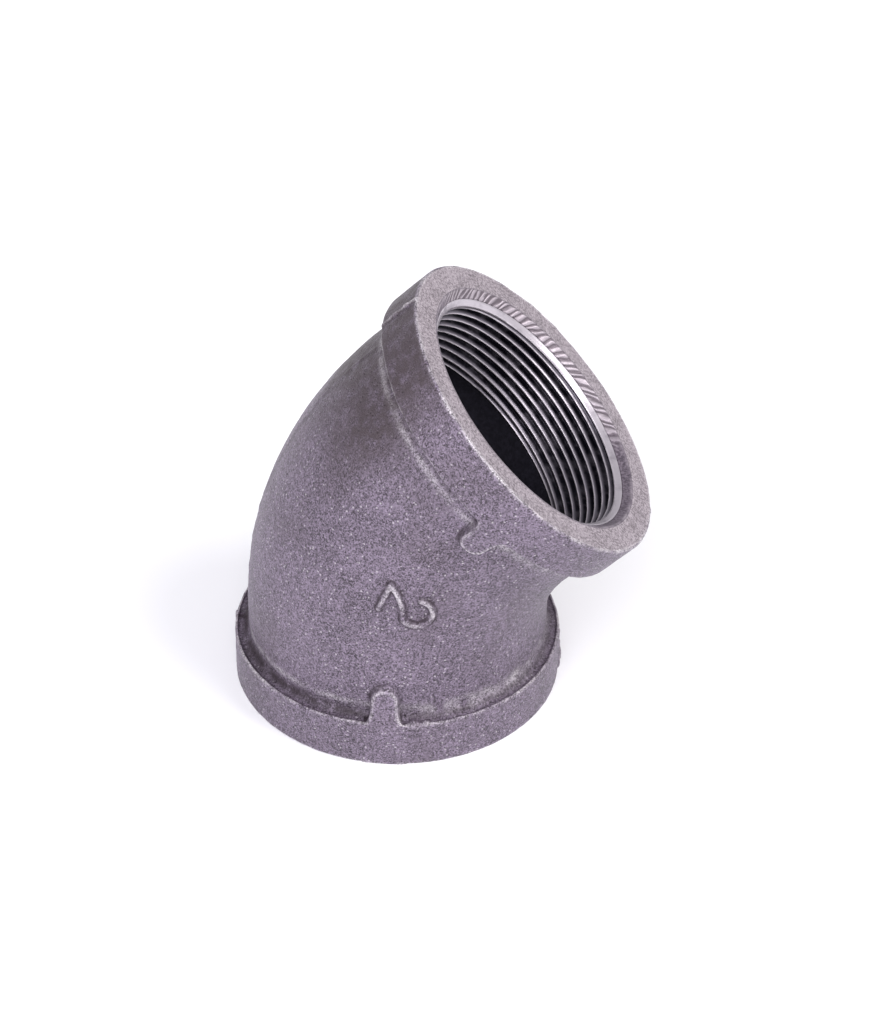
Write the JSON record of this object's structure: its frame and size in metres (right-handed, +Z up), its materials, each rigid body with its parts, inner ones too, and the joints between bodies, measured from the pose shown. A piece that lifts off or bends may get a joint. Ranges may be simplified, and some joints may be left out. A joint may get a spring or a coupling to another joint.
{
  "type": "pipe elbow",
  "caption": "45 degree banded iron pipe elbow with a tapered internal pipe thread in each end, a reinforcing band round each port and a raised size numeral.",
  "frame": {"origin": "centre of the lower port's end face, which the elbow stands on", "axes": "+Z up the lower port's axis into the fitting, +X towards the side the upper port leans to, +Y away from the side that carries the size numeral; the upper port faces 45 degrees between +X and +Z"},
  "size_m": [0.0944, 0.0754, 0.0994],
  "materials": {
    "cast_skin": "as cast, fine sandy grain",
    "machined_port": "faced end, cut bevel and tapped thread"
  },
  "bodies": {
    "root": {"barrel": "cast_skin", "lower_port": "machined_port", "lower_band": "cast_skin", "lower_front_lug": "cast_skin", "lower_back_lug": "cast_skin", "upper_port": "machined_port", "upper_band": "cast_skin", "upper_front_lug": "cast_skin", "upper_back_lug": "cast_skin", "size_numeral": "cast_skin"}
  },
  "joints": []
}
